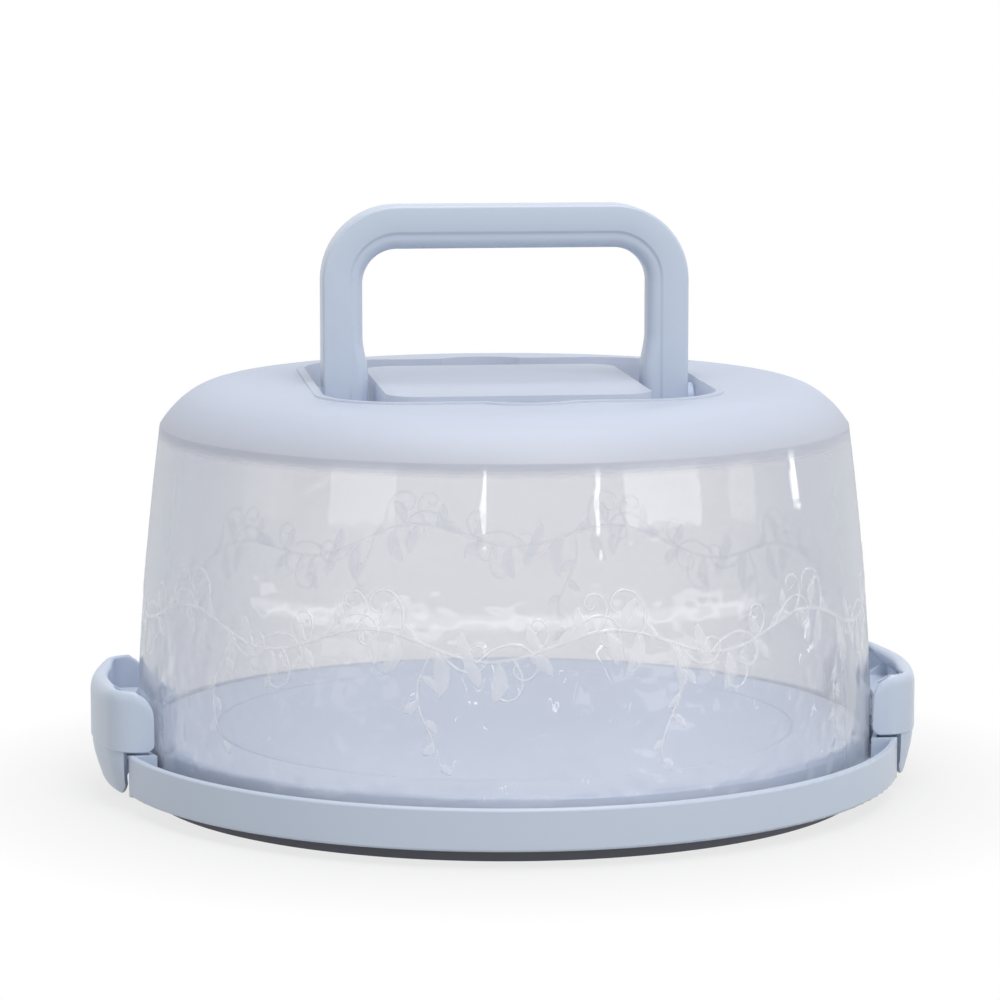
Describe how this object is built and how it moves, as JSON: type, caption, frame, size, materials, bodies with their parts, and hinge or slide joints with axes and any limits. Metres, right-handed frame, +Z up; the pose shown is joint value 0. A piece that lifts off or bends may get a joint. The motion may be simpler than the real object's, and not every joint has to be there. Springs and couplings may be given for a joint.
{
  "type": "cake carrier",
  "caption": "Round cake carrier with a clear lift-off lid, a folding handle sunk in the lid, and a latch on each side of the tray.",
  "frame": {"origin": "on the table under the middle of the tray, at the middle of the bounding box's bottom", "axes": "+X towards the right latch, +Y to the rear, +Z up; the handle's pivot axis is parallel to X"},
  "size_m": [0.3044, 0.29, 0.2135],
  "materials": {
    "blue_plastic": "satin moulded plastic",
    "clear_plastic": "clear wall with a frosted top and frosted leaf pattern",
    "dark_rubber": "matt"
  },
  "bodies": {
    "base": {"base_tray": "blue_plastic", "foot_ring": "dark_rubber"},
    "lid": {"lid_dome": "clear_plastic"},
    "handle": {"handle": "blue_plastic"},
    "latch_left": {"latch_left": "blue_plastic"},
    "latch_right": {"latch_right": "blue_plastic"}
  },
  "joints": [
    {"name": "lid_lift", "type": "slide", "parent": "base", "child": "lid", "axis": [0, 0, 1], "range_m": [0, 0.16]},
    {"name": "handle_fold", "type": "hinge", "parent": "lid", "child": "handle", "pos_m": [0, 0, 0.1415], "axis": [1, 0, 0], "range_deg": [-90, 90]},
    {"name": "latch_right_swing", "type": "hinge", "parent": "base", "child": "latch_right", "pos_m": [0.142, 0, 0.011], "axis": [0, 1, 0], "range_deg": [0, 90]},
    {"name": "latch_left_swing", "type": "hinge", "parent": "base", "child": "latch_left", "pos_m": [-0.142, 0, 0.011], "axis": [0, -1, 0], "range_deg": [0, 90]}
  ]
}
